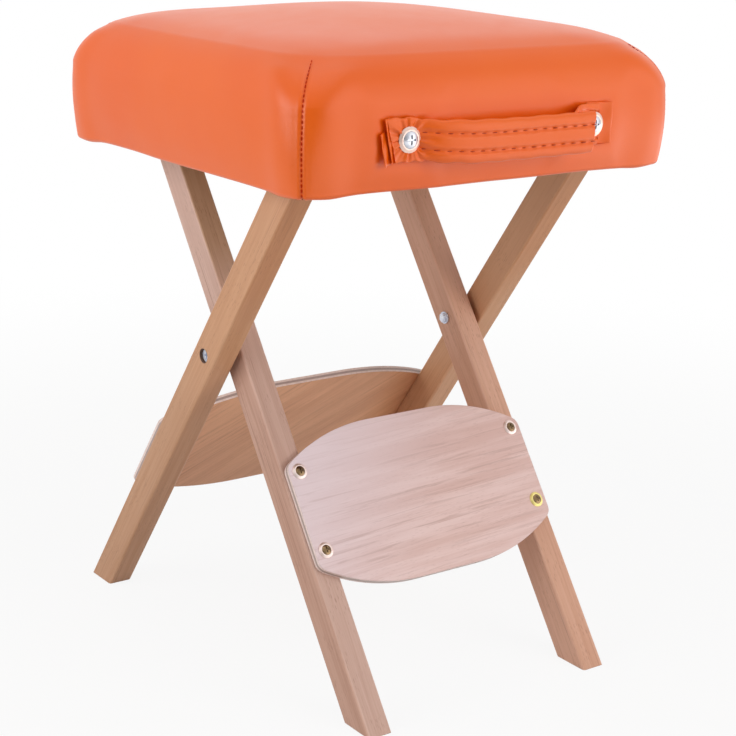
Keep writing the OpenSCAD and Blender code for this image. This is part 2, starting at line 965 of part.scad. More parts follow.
module frame_pivot_nuts() {
    color("silver")
        both_sides()
            translate([inner_in - slide_gap, 0, pivot_h])
                difference() {
                    union() {
                        across(-nut_flange_h, 0, nut_flange_d / 2);
                        translate([-nut_flange_h - nut_h, 0, 0])
                            rotate([0, 90, 0])
                                cylinder(h = nut_h + eps, r = nut_d / 2, $fn = 6);
                    }
                    across(-nut_flange_h - nut_h - 1, 1, pivot_d / 2 + screw_fit);
                }
}

seat_cover();
foam_pad();
edge_wadding();
seat_board();
seat_front_rail();
seat_rear_rail();
seat_side_rail_left();
seat_side_rail_right();
seat_runner_left();
seat_runner_right();
frame_screws();
board_screws();
runner_screws();
cover_staples();
handle_band();
handle_grip();
handle_cup_washers();
handle_screws();
seat_pivot_bolts();
seat_pivot_inserts();
seat_pivot_spacers();
outer_leg_left();
outer_leg_right();
rear_panel();
rear_panel_screws();
rear_panel_cup_washers();
frame_pivot_bolts();
frame_pivot_spacers();
frame_pivot_nuts();
inner_leg_left();
inner_leg_right();
inner_top_rail();
inner_rail_screws();
front_panel();
front_panel_screws();
front_panel_cup_washers();
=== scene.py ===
# Padded folding stool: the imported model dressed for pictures. Metres, +Z up, the handle side faces -Y.
import math

import bpy
import numpy as np
from mathutils import Matrix, Vector


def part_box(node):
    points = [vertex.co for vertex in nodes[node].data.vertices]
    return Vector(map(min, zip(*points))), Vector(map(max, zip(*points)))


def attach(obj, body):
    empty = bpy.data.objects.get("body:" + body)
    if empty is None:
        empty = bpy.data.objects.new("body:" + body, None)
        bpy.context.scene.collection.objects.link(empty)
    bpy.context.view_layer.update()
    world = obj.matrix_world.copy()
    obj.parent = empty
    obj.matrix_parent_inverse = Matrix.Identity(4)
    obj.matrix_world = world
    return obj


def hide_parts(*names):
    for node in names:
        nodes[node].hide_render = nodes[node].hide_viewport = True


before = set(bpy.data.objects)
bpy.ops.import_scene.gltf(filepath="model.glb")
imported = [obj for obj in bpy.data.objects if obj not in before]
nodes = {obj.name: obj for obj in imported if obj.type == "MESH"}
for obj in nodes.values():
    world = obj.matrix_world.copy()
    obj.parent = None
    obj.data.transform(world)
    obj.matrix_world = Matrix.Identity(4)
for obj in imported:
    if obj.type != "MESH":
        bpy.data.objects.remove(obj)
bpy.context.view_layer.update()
scene = bpy.context.scene
print("frame loaded:", len(nodes), "nodes")


def newObject(name, data):
    made = bpy.data.objects.new(name, data)
    scene.collection.objects.link(made)
    return made


# camera at the photograph's angle
cameraView = {
    "place": (-0.8123, -1.1354, 0.6219),
    "yaw": 0.6302,      # radians, from +Y towards +X
    "pitch": -0.2806,
    "roll": 0.0266,
    "lens": 85.91,
}


def makeCamera(view):
    yaw, pitch, roll = view["yaw"], view["pitch"], view["roll"]
    ahead = Vector((math.sin(yaw) * math.cos(pitch), math.cos(yaw) * math.cos(pitch), math.sin(pitch)))
    right = Vector((math.cos(yaw), -math.sin(yaw), 0))
    up = right.cross(ahead)
    turnedRight = math.cos(roll) * right + math.sin(roll) * up
    turnedUp = math.cos(roll) * up - math.sin(roll) * right
    camera = newObject("camera", bpy.data.cameras.new("camera"))
    axes = Matrix((turnedRight, turnedUp, -ahead)).transposed().to_4x4()
    camera.matrix_world = Matrix.Translation(view["place"]) @ axes
    camera.data.sensor_width = 36
    camera.data.lens = view["lens"]
    scene.camera = camera


makeCamera(cameraView)
scene.view_settings.view_transform = "Standard"
print("camera placed")


# small helpers for node trees
def rgb(red, green, blue):
    def toLinear(value):
        value = value / 255
        return value / 12.92 if value <= 0.04045 else ((value + 0.055) / 1.055) ** 2.4
    return (toLinear(red), toLinear(green), toLinear(blue), 1)


def addNode(tree, kind, inputs=None, **settings):
    made = tree.nodes.new(kind)
    for key, value in settings.items():
        setattr(made, key, value)
    for key, value in (inputs or {}).items():
        if isinstance(value, bpy.types.NodeSocket):
            tree.links.new(value, made.inputs[key])
        else:
            made.inputs[key].default_value = value
    return made


def nodeOf(tree, kind, inputs=None, **settings):
    return addNode(tree, "ShaderNode" + kind, inputs, **settings)


def newMaterial(name, roughness=0.5, metallic=0.0, specular=0.5):
    material = bpy.data.materials.new(name)
    material.use_nodes = True
    tree = material.node_tree
    shader = tree.nodes["Principled BSDF"]
    for key, value in (("Roughness", roughness), ("Metallic", metallic), ("Specular IOR Level", specular)):
        shader.inputs[key].default_value = value
    return material, tree, shader


def noiseAt(tree, place, scale, detail=3.0, roughness=0.55, distortion=0.0):
    return nodeOf(tree, "TexNoise", {
        "Vector": place, "Scale": scale, "Detail": detail, "Roughness": roughness, "Distortion": distortion,
    }).outputs[0]


def stretched(tree, place, scale):
    return nodeOf(tree, "Mapping", {"Vector": place, "Scale": scale}).outputs[0]


def remap(tree, value, low, high, outLow=0.0, outHigh=1.0, steps="LINEAR"):
    return nodeOf(tree, "MapRange", {
        "Value": value, "From Min": low, "From Max": high, "To Min": outLow, "To Max": outHigh,
    }, interpolation_type=steps).outputs[0]


def eased(tree, value, low, high, outLow=0.0, outHigh=1.0):
    return remap(tree, value, low, high, outLow, outHigh, "SMOOTHSTEP")


def maths(tree, operation, first, second=0.0):
    return nodeOf(tree, "Math", {0: first, 1: second}, operation=operation).outputs[0]


def times(tree, first, second):
    return maths(tree, "MULTIPLY", first, second)


def minus(tree, first, second):
    return maths(tree, "SUBTRACT", first, second)


def measured(tree, operation, first, second=(0, 0, 0)):
    # one number from vectors: DOT_PRODUCT, LENGTH or DISTANCE
    return nodeOf(tree, "VectorMath", {0: first, 1: second}, operation=operation).outputs["Value"]


def mixColour(tree, share, first, second, blend="MIX"):
    # a colour is a socket or three numbers from 0 to 255
    first, second = (rgb(*value) if isinstance(value, (tuple, list)) else value for value in (first, second))
    made = nodeOf(tree, "Mix", {0: share, 6: first, 7: second}, data_type="RGBA", blend_type=blend)
    return made.outputs[2]


def painted(tree, shader, colour, roughness=None):
    tree.links.new(colour, shader.inputs["Base Color"])
    if roughness is not None:
        tree.links.new(roughness, shader.inputs["Roughness"])


def bumped(tree, shader, height, distance, strength, easing=None):
    # easing: the radius to which sharp edges are shaded round
    made = nodeOf(tree, "Bump", {"Height": height, "Distance": distance, "Strength": strength})
    if easing is not None:
        rounded = nodeOf(tree, "Bevel", {"Radius": easing}, samples=4)
        tree.links.new(rounded.outputs[0], made.inputs["Normal"])
    tree.links.new(made.outputs[0], shader.inputs["Normal"])


def objectPlace(tree):
    return nodeOf(tree, "TexCoord").outputs["Object"]


crossing = (0, 0, 0.25)     # where the legs cross


def legPlace(tree, lean):
    # coordinates of a leg frame: Z runs up the leg from the crossing point, Y across its depth
    moved = nodeOf(tree, "VectorMath", {0: objectPlace(tree), 1: crossing}, operation="SUBTRACT")
    return nodeOf(tree, "Mapping", {"Vector": moved.outputs[0], "Rotation": (-lean, 0, 0)}).outputs[0]


# orange vinyl of the seat and the handle
vinylFinish = {
    "colour": (233, 95, 3),
    "paler": (235, 100, 10),
    "roughness": (0.365, 0.395),
    "broadSize": 9, "wearSize": 45,     # sizes of patterns are counts per metre
    "grainSize": 1500, "creaseSize": 420,
    "grainDepth": 0.00006,
}


def makeVinyl(name, finish):
    material, tree, shader = newMaterial(name)
    place = objectPlace(tree)
    broad = remap(tree, noiseAt(tree, place, finish["broadSize"], 2), 0.35, 0.7)
    wear = remap(tree, noiseAt(tree, place, finish["wearSize"], 4), 0.3, 0.7, *finish["roughness"])
    painted(tree, shader, mixColour(tree, broad, finish["colour"], finish["paler"]), wear)
    cells = nodeOf(tree, "TexVoronoi", {"Vector": place, "Scale": finish["grainSize"]}, feature="SMOOTH_F1")
    grain = maths(tree, "ADD", cells.outputs["Distance"], noiseAt(tree, place, finish["creaseSize"], 3))
    bumped(tree, shader, grain, finish["grainDepth"], 0.6)
    return material


orangeVinyl = makeVinyl("orange vinyl", vinylFinish)


# beech, plywood and plain frame timber
lean = math.radians(35.7)
legHalf = 0.0135        # half a leg's depth: the panels' backs stand this far from the legs' middle
timberFinish = {
    "eased": (0.0009, 0.0021),      # how far the painted highlight on the long edges reaches
    "edgeHighlightShare": (0.15, 0.5),
    "edgeHighlightPaler": 22,
    "nearFace": (0.0003, 0.0012),   # what lies this near a face belongs to it
    "lowSide": (0.06, -0.1),        # where the outward face darkens towards the foot, measured up the leg from the crossing
    # where the painted shade from the seat darkens front and back towards the top, measured the same way
    "seatShade": (0.02, 0.1),
    "bore": (0.0057, 0.0062),
    "boreColour": (70, 46, 40),
    "easing": 0.0006,
    "grainDepth": 0.00012,
}
plyFinish = {
    "thickness": 0.0065,
    "core": (166, 146, 140), "coreHalf": 0.0013,    # the dark middle veneer
    "outer": (236, 216, 209), "lines": (194, 170, 160),
    "skin": 0.00012,
    "easing": 0.0009,
    "grainDepth": 0.00008,
}


def makeTimber(name, lean, light, dark, fleck, coarse=1.0, along="z", streaks=0.6, bore=False, faces=None,
               lowSide=None, seatShade=None):
    # faces: distances of a leg's side faces from the middle plane; the two tints: the outward face darker towards the
    # foot, and painted shade from the seat on front and back towards the top
    material, tree, shader = newMaterial(name, specular=0.4)
    place = legPlace(tree, lean)
    axis = "xyz".index(along)

    def alongGrain(cross, length):
        scale = [cross * coarse] * 3
        scale[axis] = length * coarse
        return stretched(tree, place, scale)

    broad = noiseAt(tree, alongGrain(24, 2.4), 1, 3, 0.5, 0.8)
    fibre = noiseAt(tree, alongGrain(420, 9), 1, 5, 0.6)
    tone = maths(tree, "ADD", times(tree, broad, 0.62), times(tree, fibre, 0.38))
    colour = mixColour(tree, eased(tree, tone, 0.36, 0.64), dark, light)
    # fine dark lines that run with the grain, in loose groups
    fine = noiseAt(tree, alongGrain(900, 14), 1, 4, 0.6, 0.4)
    groups = eased(tree, noiseAt(tree, alongGrain(40, 5), 1, 2), 0.42, 0.62, 0.1, streaks)
    fineLines = times(tree, eased(tree, fine, 0.54, 0.68), groups)
    colour = mixColour(tree, fineLines, colour, fleck)
    # short dark rays, a few millimetres long
    rays = nodeOf(tree, "TexVoronoi", {"Vector": alongGrain(900, 120), "Scale": 1.0})
    spots = eased(tree, rays.outputs["Distance"], 0.16, 0.30, 1, 0)
    spots = times(tree, spots, remap(tree, noiseAt(tree, alongGrain(60, 30), 1), 0.45, 0.6, 0.0, 0.5))
    colour = mixColour(tree, spots, colour, fleck)
    if faces:
        # painted highlight: the eased long edges are a little paler, unevenly
        parts = nodeOf(tree, "SeparateXYZ", {0: place}).outputs
        side = maths(tree, "ABSOLUTE", parts[0])
        fromInner, fromOuter = (maths(tree, "ABSOLUTE", minus(tree, side, face)) for face in faces)
        fromFront = minus(tree, legHalf, maths(tree, "ABSOLUTE", parts[1]))
        fromSide = maths(tree, "MINIMUM", fromInner, fromOuter)
        atEdge = times(tree, *(eased(tree, away, *timberFinish["eased"], 1, 0) for away in (fromSide, fromFront)))
        patches = noiseAt(tree, stretched(tree, place, (60, 60, 12)), 1, 2)
        wearAndEdgeHighlight = times(tree, atEdge, eased(tree, patches, 0.35, 0.65, *timberFinish["edgeHighlightShare"]))
        paler = [min(255, part + timberFinish["edgeHighlightPaler"]) for part in light]
        colour = mixColour(tree, wearAndEdgeHighlight, colour, paler)
        # darker along the leg: the outward face towards the foot, and front and back towards the top as painted shade
        # from the seat
        for tint, away, reach in ((lowSide, fromOuter, "lowSide"), (seatShade, fromFront, "seatShade")):
            if tint:
                onFace = remap(tree, away, *timberFinish["nearFace"], 1, 0)
                share = times(tree, onFace, eased(tree, parts[2], *timberFinish[reach]))
                colour = mixColour(tree, share, colour, tint, "MULTIPLY")
    if bore:
        # painted shade on the wall of the bolt's recess
        flat = nodeOf(tree, "VectorMath", {0: place, 1: (0, 1, 1)}, operation="MULTIPLY").outputs[0]
        wallShade = eased(tree, measured(tree, "LENGTH", flat), *timberFinish["bore"], 0.85, 0)
        colour = mixColour(tree, wallShade, colour, timberFinish["boreColour"])
    painted(tree, shader, colour, remap(tree, fibre, 0.3, 0.7, 0.55, 0.42))
    relief = minus(tree, fibre, maths(tree, "ADD", spots, fineLines))
    bumped(tree, shader, relief, timberFinish["grainDepth"], 0.5, timberFinish["easing"])
    return material


outerFaces, innerFaces = (0.1215, 0.1425), (0.096, 0.117)
beechOuter = makeTimber("beech outer legs", lean, (209, 159, 122), (196, 144, 106), (158, 108, 75), streaks=0.35,
                        bore=True, faces=outerFaces, lowSide=(235, 235, 236), seatShade=(242, 228, 215))
beechInner = makeTimber("beech inner legs", -lean, (208, 173, 158), (189, 150, 133), (146, 106, 90), streaks=0.8,
                        faces=innerFaces, lowSide=(241, 230, 221), seatShade=(242, 235, 212))
beechWarm = makeTimber("beech inner right leg", -lean, (219, 172, 148), (203, 152, 125), (154, 105, 83), streaks=0.5,
                       faces=innerFaces)
beechRail = makeTimber("beech top rail", -lean, (214, 170, 142), (186, 138, 108), (142, 96, 70), along="x")
pine = ((222, 190, 148), (200, 162, 116), (168, 120, 78))
pineLong = makeTimber("frame timber long", 0, *pine, along="x")
pineSide = makeTimber("frame timber side", 0, *pine, along="y")


def makePanelPly(name, lean, light, dark, streak, tilt, sheen=None, streakShare=0.5):
    # sheen: a painted sheen, given as colour, direction, and where along it the paler corner begins and is full
    material, tree, shader = newMaterial(name, specular=0.45)
    place = legPlace(tree, lean)
    turned = nodeOf(tree, "Mapping", {"Vector": place, "Rotation": (0, tilt, 0)}).outputs[0]

    def grain(scale, *rest):
        return noiseAt(tree, stretched(tree, turned, scale), 1, *rest)

    figure = grain((3, 20, 34), 3, 0.5, 0.7)
    ribs = grain((9, 60, 170), 3, 0.5, 0.6)
    fibre = grain((22, 300, 700), 4, 0.6)
    tone = maths(tree, "ADD", times(tree, figure, 0.4), times(tree, fibre, 0.22))
    tone = maths(tree, "ADD", tone, times(tree, ribs, 0.38))
    face = mixColour(tree, eased(tree, tone, 0.38, 0.62), dark, light)
    # long thin lines of the grain, stronger in some bands
    lines = eased(tree, grain((14, 120, 420), 4, 0.6, 0.5), 0.52, 0.68)
    lines = times(tree, lines, eased(tree, grain((2.6, 10, 24), 2), 0.4, 0.6, 0.2, streakShare))
    face = mixColour(tree, lines, face, streak)
    pores = nodeOf(tree, "TexVoronoi", {"Vector": stretched(tree, turned, (110, 300, 950)), "Scale": 1.0})
    pores = eased(tree, pores.outputs["Distance"], 0.14, 0.26, 0.28, 0)
    face = mixColour(tree, pores, face, streak)
    if sheen:
        # painted sheen: one upper corner of the veneer is paler
        pale, direction, begin, full = sheen
        corner = eased(tree, measured(tree, "DOT_PRODUCT", place, direction), begin, full, 0, 0.85)
        face = mixColour(tree, corner, face, pale)
        face = mixColour(tree, times(tree, lines, 0.5), face, streak)
    # veneers on the edge, told from the faces by their depth
    depth = nodeOf(tree, "SeparateXYZ", {0: place}).outputs[1]
    half = plyFinish["thickness"] / 2
    away = maths(tree, "ABSOLUTE", minus(tree, depth, math.copysign(legHalf + half, lean)))
    onEdge = maths(tree, "LESS_THAN", away, half - plyFinish["skin"])
    layer = eased(tree, away, plyFinish["coreHalf"] - 0.0004, plyFinish["coreHalf"] + 0.0001)
    ply = mixColour(tree, layer, plyFinish["core"], plyFinish["outer"])
    ply = mixColour(tree, remap(tree, fibre, 0.4, 0.65, 0, 0.4), ply, plyFinish["lines"])
    painted(tree, shader, mixColour(tree, onEdge, face, ply), remap(tree, fibre, 0.3, 0.7, 0.46, 0.34))
    bumped(tree, shader, minus(tree, fibre, lines), plyFinish["grainDepth"], 0.5, plyFinish["easing"])
    return material


frontPly = makePanelPly("front panel ply", -lean, (234, 204, 198), (219, 182, 173), (185, 144, 133),
                        math.radians(2.5), sheen=((236, 220, 226), (-0.75, 0, 0.66), -0.13, 0.03), streakShare=0.42)
rearPly = makePanelPly("rear panel ply", lean, (228, 170, 127), (212, 152, 111), (176, 119, 83),
                       math.radians(40), streakShare=0.45)
boardPly = makeTimber("seat board ply", 0, (214, 184, 142), (192, 156, 112), (160, 118, 78), coarse=0.6, along="x")


# metals, nylon and thread
def makeMetal(name, colour, wearAndEdgeHighlight, roughness, metallic=1.0, tint=None):
    # tint: another passivated colour around one place, as middle, radius and colour
    material, tree, shader = newMaterial(name, metallic=metallic)
    place = objectPlace(tree)
    wear = noiseAt(tree, place, 160, 4, 0.6)
    base = mixColour(tree, remap(tree, wear, 0.4, 0.7), colour, wearAndEdgeHighlight)
    if tint:
        middle, radius, other = tint
        away = measured(tree, "DISTANCE", place, middle)
        base = mixColour(tree, remap(tree, away, radius * 0.8, radius, 1, 0), base, other)
    painted(tree, shader, base, remap(tree, wear, 0.3, 0.7, *roughness))
    bumped(tree, shader, noiseAt(tree, place, 900, 2), 0.00003, 0.4, 0.00025)
    return material


brightSteel = makeMetal("bright steel", (196, 198, 204), (166, 168, 176), (0.24, 0.36))
pivotZinc = makeMetal("blue zinc", (240, 244, 254), (214, 222, 240), (0.24, 0.36), metallic=0.4)
zincSteel = makeMetal("zinc steel", (176, 182, 196), (140, 146, 158), (0.28, 0.45))
nickelCup = makeMetal("pale cup washer", (224, 196, 184), (210, 182, 170), (0.42, 0.5))
cupsLow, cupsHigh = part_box("front_panel_cup_washers")
yellowCup = (cupsHigh.x - 0.006, (cupsLow.y + cupsHigh.y) / 2 - 0.02, cupsLow.z + 0.006)
paleBrass = makeMetal("pale zinc cup", (243, 226, 220), (234, 211, 203), (0.42, 0.5),
                      tint=(yellowCup, 0.04, (235, 219, 142)))
agedBrass = makeMetal("aged brass screws", (138, 114, 84), (88, 68, 54), (0.2, 0.32))
insertBrass = makeMetal("insert brass", (206, 170, 96), (176, 138, 70), (0.3, 0.45))


def makePlain(name, light, dark, roughness, scale, depth, specular=0.5):
    material, tree, shader = newMaterial(name, roughness=roughness, specular=specular)
    grain = noiseAt(tree, objectPlace(tree), scale, 3)
    painted(tree, shader, mixColour(tree, remap(tree, grain, 0.35, 0.65), dark, light))
    bumped(tree, shader, grain, depth, 0.5)
    return material


# painted shade: the nylon spacers are coloured dark so that the gaps at the pivots read as shadow
gapShadeNylon = makePlain("nylon dark as gap shade", (64, 56, 50), (44, 38, 34), 0.45, 700, 0.00003)
redThread = makePlain("dark red thread", (205, 40, 8), (158, 24, 5), 0.9, 2600, 0.00008, specular=0.1)
gripThread = makePlain("orange brown thread", (190, 66, 20), (158, 48, 14), 0.7, 2600, 0.00008)

finishes = (
    (boardPly, "seat_board"),
    (pineLong, "seat_front_rail seat_rear_rail"),
    (pineSide, "seat_side_rail_left seat_side_rail_right seat_runner_left seat_runner_right"),
    (zincSteel, "frame_screws board_screws runner_screws cover_staples seat_pivot_bolts inner_rail_screws"),
    (brightSteel, "handle_screws"),
    (nickelCup, "handle_cup_washers"),
    (insertBrass, "seat_pivot_inserts"),
    (gapShadeNylon, "seat_pivot_spacers frame_pivot_spacers"),
    (pivotZinc, "frame_pivot_bolts frame_pivot_nuts"),
    (beechOuter, "outer_leg_left outer_leg_right"),
    (beechInner, "inner_leg_left"),
    (beechWarm, "inner_leg_right"),
    (beechRail, "inner_top_rail"),
    (frontPly, "front_panel"),
    (rearPly, "rear_panel"),
    (agedBrass, "front_panel_screws rear_panel_screws"),
    (paleBrass, "front_panel_cup_washers rear_panel_cup_washers"),
)
dressed = {name: material for material, names in finishes for name in names.split()}
for name, material in dressed.items():
    for slot in nodes[name].material_slots:
        slot.material = material
print("finishes given to", len(dressed), "nodes")


# meshes from rings of points
def meshFromRings(name, rings, capStart=None, capEnd=None, sharp=None):
    # rings: (count, points, 3) array; quads between them, a fan to each cap point, by default the end ring's middle
    count, around = rings.shape[:2]
    index = np.arange(count * around).reshape(count, around)
    following = np.roll(index, -1, axis=1)
    quads = np.stack([index[:-1], following[:-1], following[1:], index[1:]], axis=-1)
    faces = quads.reshape(-1, 4).tolist()
    extra = count * around
    faces += [[extra, int(following[0, i]), int(index[0, i])] for i in range(around)]
    faces += [[extra + 1, int(index[-1, i]), int(following[-1, i])] for i in range(around)]
    caps = [rings[end].mean(axis=0) if cap is None else cap for cap, end in ((capStart, 0), (capEnd, -1))]
    mesh = bpy.data.meshes.new(name)
    mesh.from_pydata(np.concatenate([rings.reshape(-1, 3), caps]).tolist(), [], faces)
    mesh.shade_smooth()
    mesh.materials.append(orangeVinyl)
    mesh.update()
    if sharp:
        mesh.set_sharp_from_angle(angle=math.radians(sharp))
    return newObject(name, mesh)


def smoothNoise(x, y, z, seed, size):
    # a sum of a few turned waves: smooth, repeatable unevenness between about -1 and 1
    rng = np.random.default_rng(seed)
    total = 0
    for _ in range(6):
        turn = rng.normal(size=3)
        turn = turn / np.linalg.norm(turn) / size * (0.7 + 0.6 * rng.random())
        total = total + np.sin((x * turn[0] + y * turn[1] + z * turn[2]) * 2 * math.pi + rng.random() * 2 * math.pi)
    return total / 3


# stitches: a tree of Geometry Nodes lays one along every step of the seam lines
def makeStitchTree():
    tree = bpy.data.node_groups.new("stitches along lines", "GeometryNodeTree")
    sockets = {"Lines": "Geometry", "Pitch": "Float", "Stitch Length": "Float", "Thread Width": "Float",
               "Unevenness": "Float", "Seed": "Int", "Thread": "Material"}
    for name, kind in sockets.items():
        tree.interface.new_socket(name, in_out="INPUT", socket_type="NodeSocket" + kind)
    tree.interface.new_socket("Stitches", in_out="OUTPUT", socket_type="NodeSocketGeometry")
    given = tree.nodes.new("NodeGroupInput").outputs

    def geometry(kind, inputs=None, **settings):
        return addNode(tree, "GeometryNode" + kind, inputs, **settings).outputs[0]

    curve = geometry("MeshToCurve", {"Mesh": given["Lines"]})
    even = geometry("ResampleCurve", {"Curve": curve, "Length": given["Pitch"]}, mode="LENGTH")
    outward = geometry("InputNamedAttribute", {"Name": "outward"}, data_type="FLOAT_VECTOR")
    tangent = geometry("InputTangent")
    turn = addNode(tree, "FunctionNodeAxesToRotation", {"Primary Axis": outward, "Secondary Axis": tangent},
                   primary_axis="Z", secondary_axis="X").outputs[0]
    bead = geometry("MeshUVSphere", {"Segments": 8, "Rings": 5, "Radius": 0.5})
    width = given["Thread Width"]
    size = nodeOf(tree, "CombineXYZ", {0: given["Stitch Length"], 1: width, 2: width})
    uneven = addNode(tree, "FunctionNodeRandomValue", {"Seed": given["Seed"]}, data_type="FLOAT")
    tree.links.new(minus(tree, 1.0, given["Unevenness"]), uneven.inputs[2])
    tree.links.new(maths(tree, "ADD", 1.0, given["Unevenness"]), uneven.inputs[3])
    scale = nodeOf(tree, "VectorMath", {0: size.outputs[0], "Scale": uneven.outputs[1]}, operation="SCALE").outputs[0]
    placed = geometry("InstanceOnPoints", {"Points": even, "Instance": bead, "Rotation": turn, "Scale": scale})
    smooth = geometry("SetShadeSmooth", {0: geometry("RealizeInstances", {0: placed})})
    coloured = geometry("SetMaterial", {"Geometry": smooth, "Material": given["Thread"]})
    tree.links.new(coloured, tree.nodes.new("NodeGroupOutput").inputs[0])
    return tree


stitchTree = makeStitchTree()


def sewLines(name, lines, sizes, thread):
    # lines: (points, outward directions) pairs; the result is one plain mesh
    points, edges, outward = [], [], []
    for line, away in lines:
        edges += [(len(points) + i, len(points) + i + 1) for i in range(len(line) - 1)]
        points += [tuple(point) for point in line]
        outward += [tuple(direction) for direction in away]
    mesh = bpy.data.meshes.new(name + "Lines")
    mesh.from_pydata(points, edges, [])
    mesh.attributes.new("outward", "FLOAT_VECTOR", "POINT").data.foreach_set("vector", np.array(outward).ravel())
    guide = newObject(name + "Lines", mesh)
    modifier = guide.modifiers.new("stitches", "NODES")
    modifier.node_group = stitchTree
    for key, value in {**sizes, "Thread": thread}.items():
        modifier[stitchTree.interface.items_tree[key].identifier] = value
    shaped = guide.evaluated_get(bpy.context.evaluated_depsgraph_get())
    plain = bpy.data.meshes.new_from_object(shaped)
    guide.modifiers.remove(modifier)
    bpy.data.objects.remove(guide)
    print(name, "has", len(plain.polygons), "faces")
    return newObject(name, plain)


# the seat cushion
coverLow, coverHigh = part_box("seat_cover")
cushion = {
    "halfWide": coverHigh.x,
    "halfDeep": (coverHigh.y - coverLow.y) / 2,
    "middleY": (coverHigh.y + coverLow.y) / 2,
    "bottom": coverLow.z,
    "top": coverHigh.z,
    "widest": coverLow.z + 0.057,
    "bulge": 0.006,
    "topEdge": 0.0425,
    "topEdgeRise": 0.040,
    "crown": 0.0115,
    "lowCorner": 0.010,
    "wideCorner": 0.0255,
    "topCorner": 0.052,
    "shoulderCorner": 0.0065,   # the corners are rounder still halfway up the roll
    "hem": 0.015, "hemCorner": 0.002,
    "hemEdge": 0.0035,      # radius where the cover turns in under the rails
    "coverThick": 0.0012,
    "seamTop": 0.0885,      # height of the corner seams' upper ends above the lower edge
    "puffRange": (-0.0004, 0.0016),     # how far the puffed cover may move
}
# the wooden frame that the cushion is wrapped around
boardLow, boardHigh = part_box("seat_board")
# coarse counts for the cloth: round a corner, along a side, and up the parts of the profile
arcSteps, sideSteps = 12, 40
hemSteps, wallSteps, rollSteps, crownSteps = 3, 10, 10, 13
fineness = 3        # the finished skin has three times as many


def planRing(halfX, halfY, corner, height, fine):
    arcs, sides = arcSteps * fine, sideSteps * fine

    def onCorner(quarter, turn):
        signX, signY = ((1, 1), (-1, 1), (-1, -1), (1, -1))[quarter % 4]
        middle = np.array((signX * (halfX - corner), signY * (halfY - corner)))
        return middle + corner * np.array((math.cos(turn), math.sin(turn)))

    points = []
    for quarter in range(4):
        points += [onCorner(quarter, math.pi / 2 * (quarter + step / arcs)) for step in range(arcs + 1)]
        start, end = points[-1], onCorner(quarter + 1, math.pi / 2 * (quarter + 1))
        points += [start + (end - start) * step / sides for step in range(1, sides)]
    flat = np.array(points)
    return np.column_stack([flat[:, 0], flat[:, 1] + cushion["middleY"], np.full(len(flat), height)])


def smoothedAround(field):
    return (field + np.roll(field, 1, axis=1) + np.roll(field, -1, axis=1)) / 3


def smoothRows(field):
    field[1:-1] = (field[:-2] + field[1:-1] + field[2:]) / 3


def cushionRings(fine):
    # outer skin, from the lower edge to just short of the crown's middle
    c = cushion
    halfX, halfY = c["halfWide"], c["halfDeep"]
    turnIn, edge = c["hemEdge"], c["topEdge"]
    rings = []

    def addRing(inset, corner, z):
        rings.append(planRing(halfX - inset, halfY - inset, corner, z, fine))

    for step in range(hemSteps * fine):
        turn = math.pi / 2 * step / (hemSteps * fine)
        addRing(c["bulge"] + turnIn * (1 - math.sin(turn)), c["lowCorner"], c["bottom"] + turnIn * (1 - math.cos(turn)))
    low = c["bottom"] + turnIn
    for step in range(wallSteps * fine):
        z = low + (c["widest"] - low) * step / (wallSteps * fine)
        share = (z - low) / (c["widest"] - low)
        addRing(c["bulge"] * (1 - share) ** 2, c["lowCorner"] + (c["wideCorner"] - c["lowCorner"]) * share, z)
    shoulder = c["top"] - c["crown"]
    for step in range(rollSteps * fine + 1):
        share = step / (rollSteps * fine)
        turn = math.pi / 2 * share
        corner = c["wideCorner"] + (c["topCorner"] - c["wideCorner"]) * share
        corner += c["shoulderCorner"] * math.sin(math.pi * share)
        addRing(edge * (1 - math.cos(turn)), corner, shoulder - c["topEdgeRise"] * (1 - math.sin(turn)))
    flatFrom = len(rings) - 1
    for step in range(1, crownSteps * fine):
        share = 1 - step / (crownSteps * fine)
        rings.append(planRing((halfX - edge) * share, (halfY - edge) * share, c["topCorner"] * share, shoulder, fine))
    rings = np.array(rings)
    u = rings[flatFrom:, :, 0] / (halfX - edge)
    v = (rings[flatFrom:, :, 1] - c["middleY"]) / (halfY - edge)
    rings[flatFrom:, :, 2] += c["crown"] * (1 - u * u) * (1 - v * v)
    # no crease where the roll meets the crown, nor where the corners meet the sides
    for _ in range(5 * fine * fine):
        smoothRows(rings[flatFrom - 4 * fine:flatFrom + 4 * fine])
    for _ in range(3 * fine * fine):
        rings = smoothedAround(rings)
    return rings


def seamColumns(fine):
    return [quarter * (arcSteps + sideSteps) * fine + arcSteps * fine // 2 for quarter in range(4)]


def profileLength(rings):
    # distance along the skin from the lower edge, row by row, down the middle of one side
    column = rings[:, rings.shape[1] // 8 + arcSteps]
    return np.concatenate([[0], np.cumsum(np.linalg.norm(np.diff(column, axis=0), axis=1))])


clothFinish = {
    "quality": 6, "mass": 0.3,
    "tension_stiffness": 18, "compression_stiffness": 18, "shear_stiffness": 8, "bending_stiffness": 6,
    "use_pressure": True, "uniform_pressure_force": 4,
    "vertex_group_mass": "held",
}
clothFrames = 20


